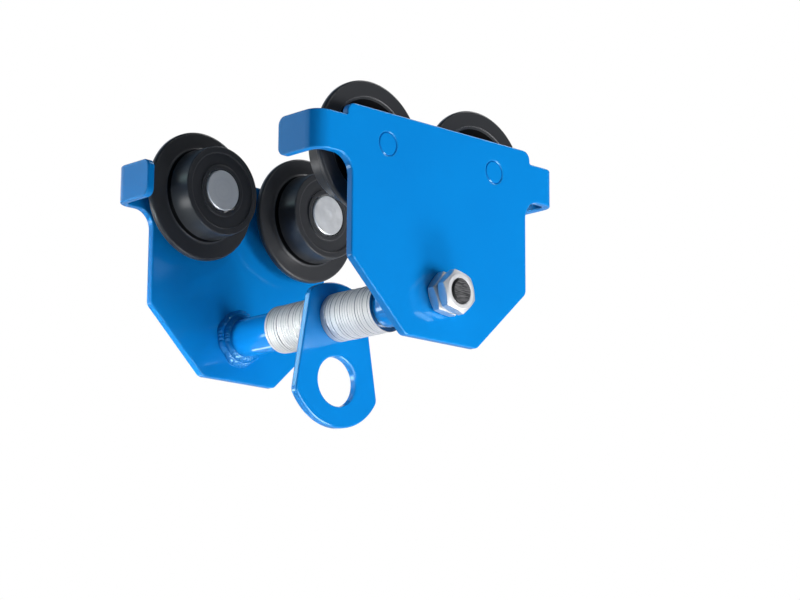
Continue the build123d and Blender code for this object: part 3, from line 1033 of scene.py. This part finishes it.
# %% [markdown]
# ## Zinc on the nuts
# The nuts are cut from drawn hexagon bar: their flats keep the smooth skin of the bar, while their ends
# and chamfers are turned and keep fine rings. Two materials on one nut would need its faces sorted.
# One material tells flats from ends by the normal instead, and changes tone, roughness and relief there.

# %% Zinc on the nuts
DRAWN_DEEP = (0.66, 0.67, 0.68)
DRAWN_LIGHT = (0.78, 0.78, 0.78)
TURNED_DEEP = (0.55, 0.55, 0.56)
TURNED_LIGHT = (0.64, 0.64, 0.645)
TURNED_RAMP = (0.3, 0.45)
DRAWN_ROUGHNESS = (0.36, 0.44)
TURNED_ROUGHER = 0.19
NUT_METALLIC = 0.85
NUT_RINGS_PER_METRE = 1700.0
NUT_SMUDGE_PER_METRE = 180.0
NUT_RINGS = (0.25, 0.0003)
NUT_ROUNDING = 0.0007

zinc_nut, tree, output = new_material("zinc_nut")
lathe = use_group(tree, turned_rings, Axle_height=shaft_z, Rings_per_metre=NUT_RINGS_PER_METRE)
skin = use_group(tree, paint_skin, Smudge_scale=NUT_SMUDGE_PER_METRE)
turned_face = ramp(tree, end_facing(tree), *TURNED_RAMP)
drawn_side = blend(tree, skin.outputs["Smudge"], DRAWN_DEEP, DRAWN_LIGHT)
turned_end = blend(tree, lathe.outputs["Tone"], TURNED_DEEP, TURNED_LIGHT)
drawn = span(tree, skin.outputs["Smudge"], *DRAWN_ROUGHNESS)
relief = math_node(tree, "MULTIPLY", lathe.outputs["Height"], turned_face)
make_finish(
    tree,
    output,
    {"Metallic": NUT_METALLIC},
    Base_Color=blend(tree, turned_face, drawn_side, turned_end),
    Roughness=math_node(tree, "MULTIPLY_ADD", turned_face, TURNED_ROUGHER, drawn),
    Normal=bump(tree, relief, *NUT_RINGS, rounding=NUT_ROUNDING),
)
for side in SIDES:
    dress(zinc_nut, f"{side}_inner_nut", f"{side}_lock_nut")
print("zinc on", 2 * len(SIDES), "nuts")

# %% [markdown]
# ## Dark oiled steel
# The shaft is plain bar with an oily, dark skin, and its ends were sawn off, which leaves slanting
# scratches. The scratches could be cut into the mesh, but they are finer than a hair. Noise that is
# stretched along one slanting direction draws them, and their paler tone shows only on the end faces.
# The circlips in the wheels are spring steel with a similar dark skin.

# %% Dark oiled steel
OIL_DEEP = (0.012, 0.012, 0.013)
OIL_LIGHT = (0.03, 0.03, 0.03)
SAWN_DEEP = (0.03, 0.03, 0.032)
SAWN_LIGHT = (0.16, 0.157, 0.16)
SAWN_SLANT = math.radians(40)
SAWN_PER_METRE = (120, 200, 1500)
SAWN_RAMP = (0.35, 0.68)
OIL_ROUGHNESS = (0.38, 0.52)
OIL_METALLIC = 0.6
OIL_SMUDGE_PER_METRE = 420.0
SAWN_RELIEF = (0.2, 0.0003)

dark_steel, tree, output = new_material("dark_oiled_steel")
skin = use_group(tree, paint_skin, Smudge_scale=OIL_SMUDGE_PER_METRE)
streaks = add(tree, "Mapping", vector_type="POINT")
streaks.inputs["Rotation"].default_value = (0, SAWN_SLANT, 0)
streaks.inputs["Scale"].default_value = SAWN_PER_METRE
tree.links.new(object_place(tree), streaks.inputs["Vector"])
sawn = noise(tree, streaks.outputs[0], 1.0)
end_face = ramp(tree, end_facing(tree), *FACE_RAMP)
oily = blend(tree, skin.outputs["Smudge"], OIL_DEEP, OIL_LIGHT)
cut = blend(tree, ramp(tree, sawn, *SAWN_RAMP), SAWN_DEEP, SAWN_LIGHT)
make_finish(
    tree,
    output,
    {"Metallic": OIL_METALLIC},
    Base_Color=blend(tree, end_face, oily, cut),
    Roughness=span(tree, skin.outputs["Smudge"], *OIL_ROUGHNESS),
    Normal=bump(tree, sawn, *SAWN_RELIEF),
)
dress(dark_steel, "cross_shaft", *[f"{corner}_circlip" for corner in CORNERS])
print("dark steel on the shaft and", len(CORNERS), "circlips")

# %% [markdown]
# ## Bright turned steel
# The axles have a bright turned head in the middle of the wheel and a riveted end in the plate that was
# painted over with it. An axle could be cut in two for its two finishes. One material changes from steel
# to enamel past the plate's inner face instead, so the painted end and its ring meet the plate's own.

# %% Bright turned steel
STEEL_DEEP = (0.78, 0.78, 0.79)
STEEL_LIGHT = (0.9, 0.9, 0.9)
STEEL_ROUGHNESS = (0.32, 0.44)
PAINTED_SMOOTHER = -0.28
STEEL_METALLIC = 0.65
STEEL_RINGS_PER_METRE = 2200.0
STEEL_SMUDGE_PER_METRE = 150.0
STEEL_RINGS = (0.12, 0.0003)

bright_steel, tree, output = new_material("bright_turned_steel")
lathe = use_group(
    tree, turned_rings, Axle_distance=axle_x, Axle_height=axle_z, Rings_per_metre=STEEL_RINGS_PER_METRE
)
skin = use_group(tree, paint_skin, Smudge_scale=STEEL_SMUDGE_PER_METRE)
outwards = math_node(tree, "ABSOLUTE", part_of(tree, object_place(tree), "Y"))
is_blue = math_node(tree, "GREATER_THAN", outwards, inner_y)
is_metal = rest_of(tree, is_blue)
ring = rivet_ring(tree, lathe.outputs["Radius"])
steel = blend(tree, lathe.outputs["Tone"], STEEL_DEEP, STEEL_LIGHT)
turned = span(tree, skin.outputs["Smudge"], *STEEL_ROUGHNESS)
relief = math_node(tree, "MULTIPLY", lathe.outputs["Height"], is_metal)
valley = bump(tree, math_node(tree, "MULTIPLY", ring, is_blue), 1.0, -RIVET_DEPTH)
# Painted shade: the blue riveted end darkens in its ring, as on the plates.
make_finish(
    tree,
    output,
    {"IOR": PLATE_IOR, "Specular_Tint": PLATE_GLOSS},
    Base_Color=blend(tree, is_blue, steel, blue_coat(tree, skin, ring)),
    Metallic=math_node(tree, "MULTIPLY", is_metal, STEEL_METALLIC),
    Roughness=math_node(tree, "MULTIPLY_ADD", is_blue, PAINTED_SMOOTHER, turned),
    Normal=bump(tree, relief, *STEEL_RINGS, under=valley),
)
for corner in CORNERS:
    dress(bright_steel, f"{corner}_axle", f"{corner}_axle_spacer")
print("bright steel on", 2 * len(CORNERS), "axles and spacers, blue on the riveted ends")

# %% [markdown]
# ## Bearing steel
# The balls and cages of the sealed bearings are closed in, and at most a ring or a shield shows in the
# hub of a wheel. They could be plain grey. They are ground steel here, bright, with very fine rings that
# change tone and polish a little, so that a close view of a hub holds up too.

# %% Bearing steel
GROUND_DEEP = (0.55, 0.55, 0.56)
GROUND_LIGHT = (0.7, 0.7, 0.71)
GROUND_ROUGHNESS = (0.14, 0.24)
GROUND_RINGS_PER_METRE = 3000.0
GROUND_RINGS = (0.06, 0.0002)
BEARING_PIECES = ("inner_ring", "outer_ring", "balls", "cage", "shields")

bearing_steel, tree, output = new_material("ground_bearing_steel")
lathe = use_group(
    tree, turned_rings, Axle_distance=axle_x, Axle_height=axle_z, Rings_per_metre=GROUND_RINGS_PER_METRE
)
make_finish(
    tree,
    output,
    {"Metallic": 1.0},
    Base_Color=blend(tree, lathe.outputs["Tone"], GROUND_DEEP, GROUND_LIGHT),
    Roughness=span(tree, lathe.outputs["Tone"], *GROUND_ROUGHNESS),
    Normal=bump(tree, lathe.outputs["Height"], *GROUND_RINGS),
)
for corner in CORNERS:
    dress(bearing_steel, *[f"{corner}_bearing_{piece}" for piece in BEARING_PIECES])
print("bearing steel on", len(BEARING_PIECES) * len(CORNERS), "nodes")
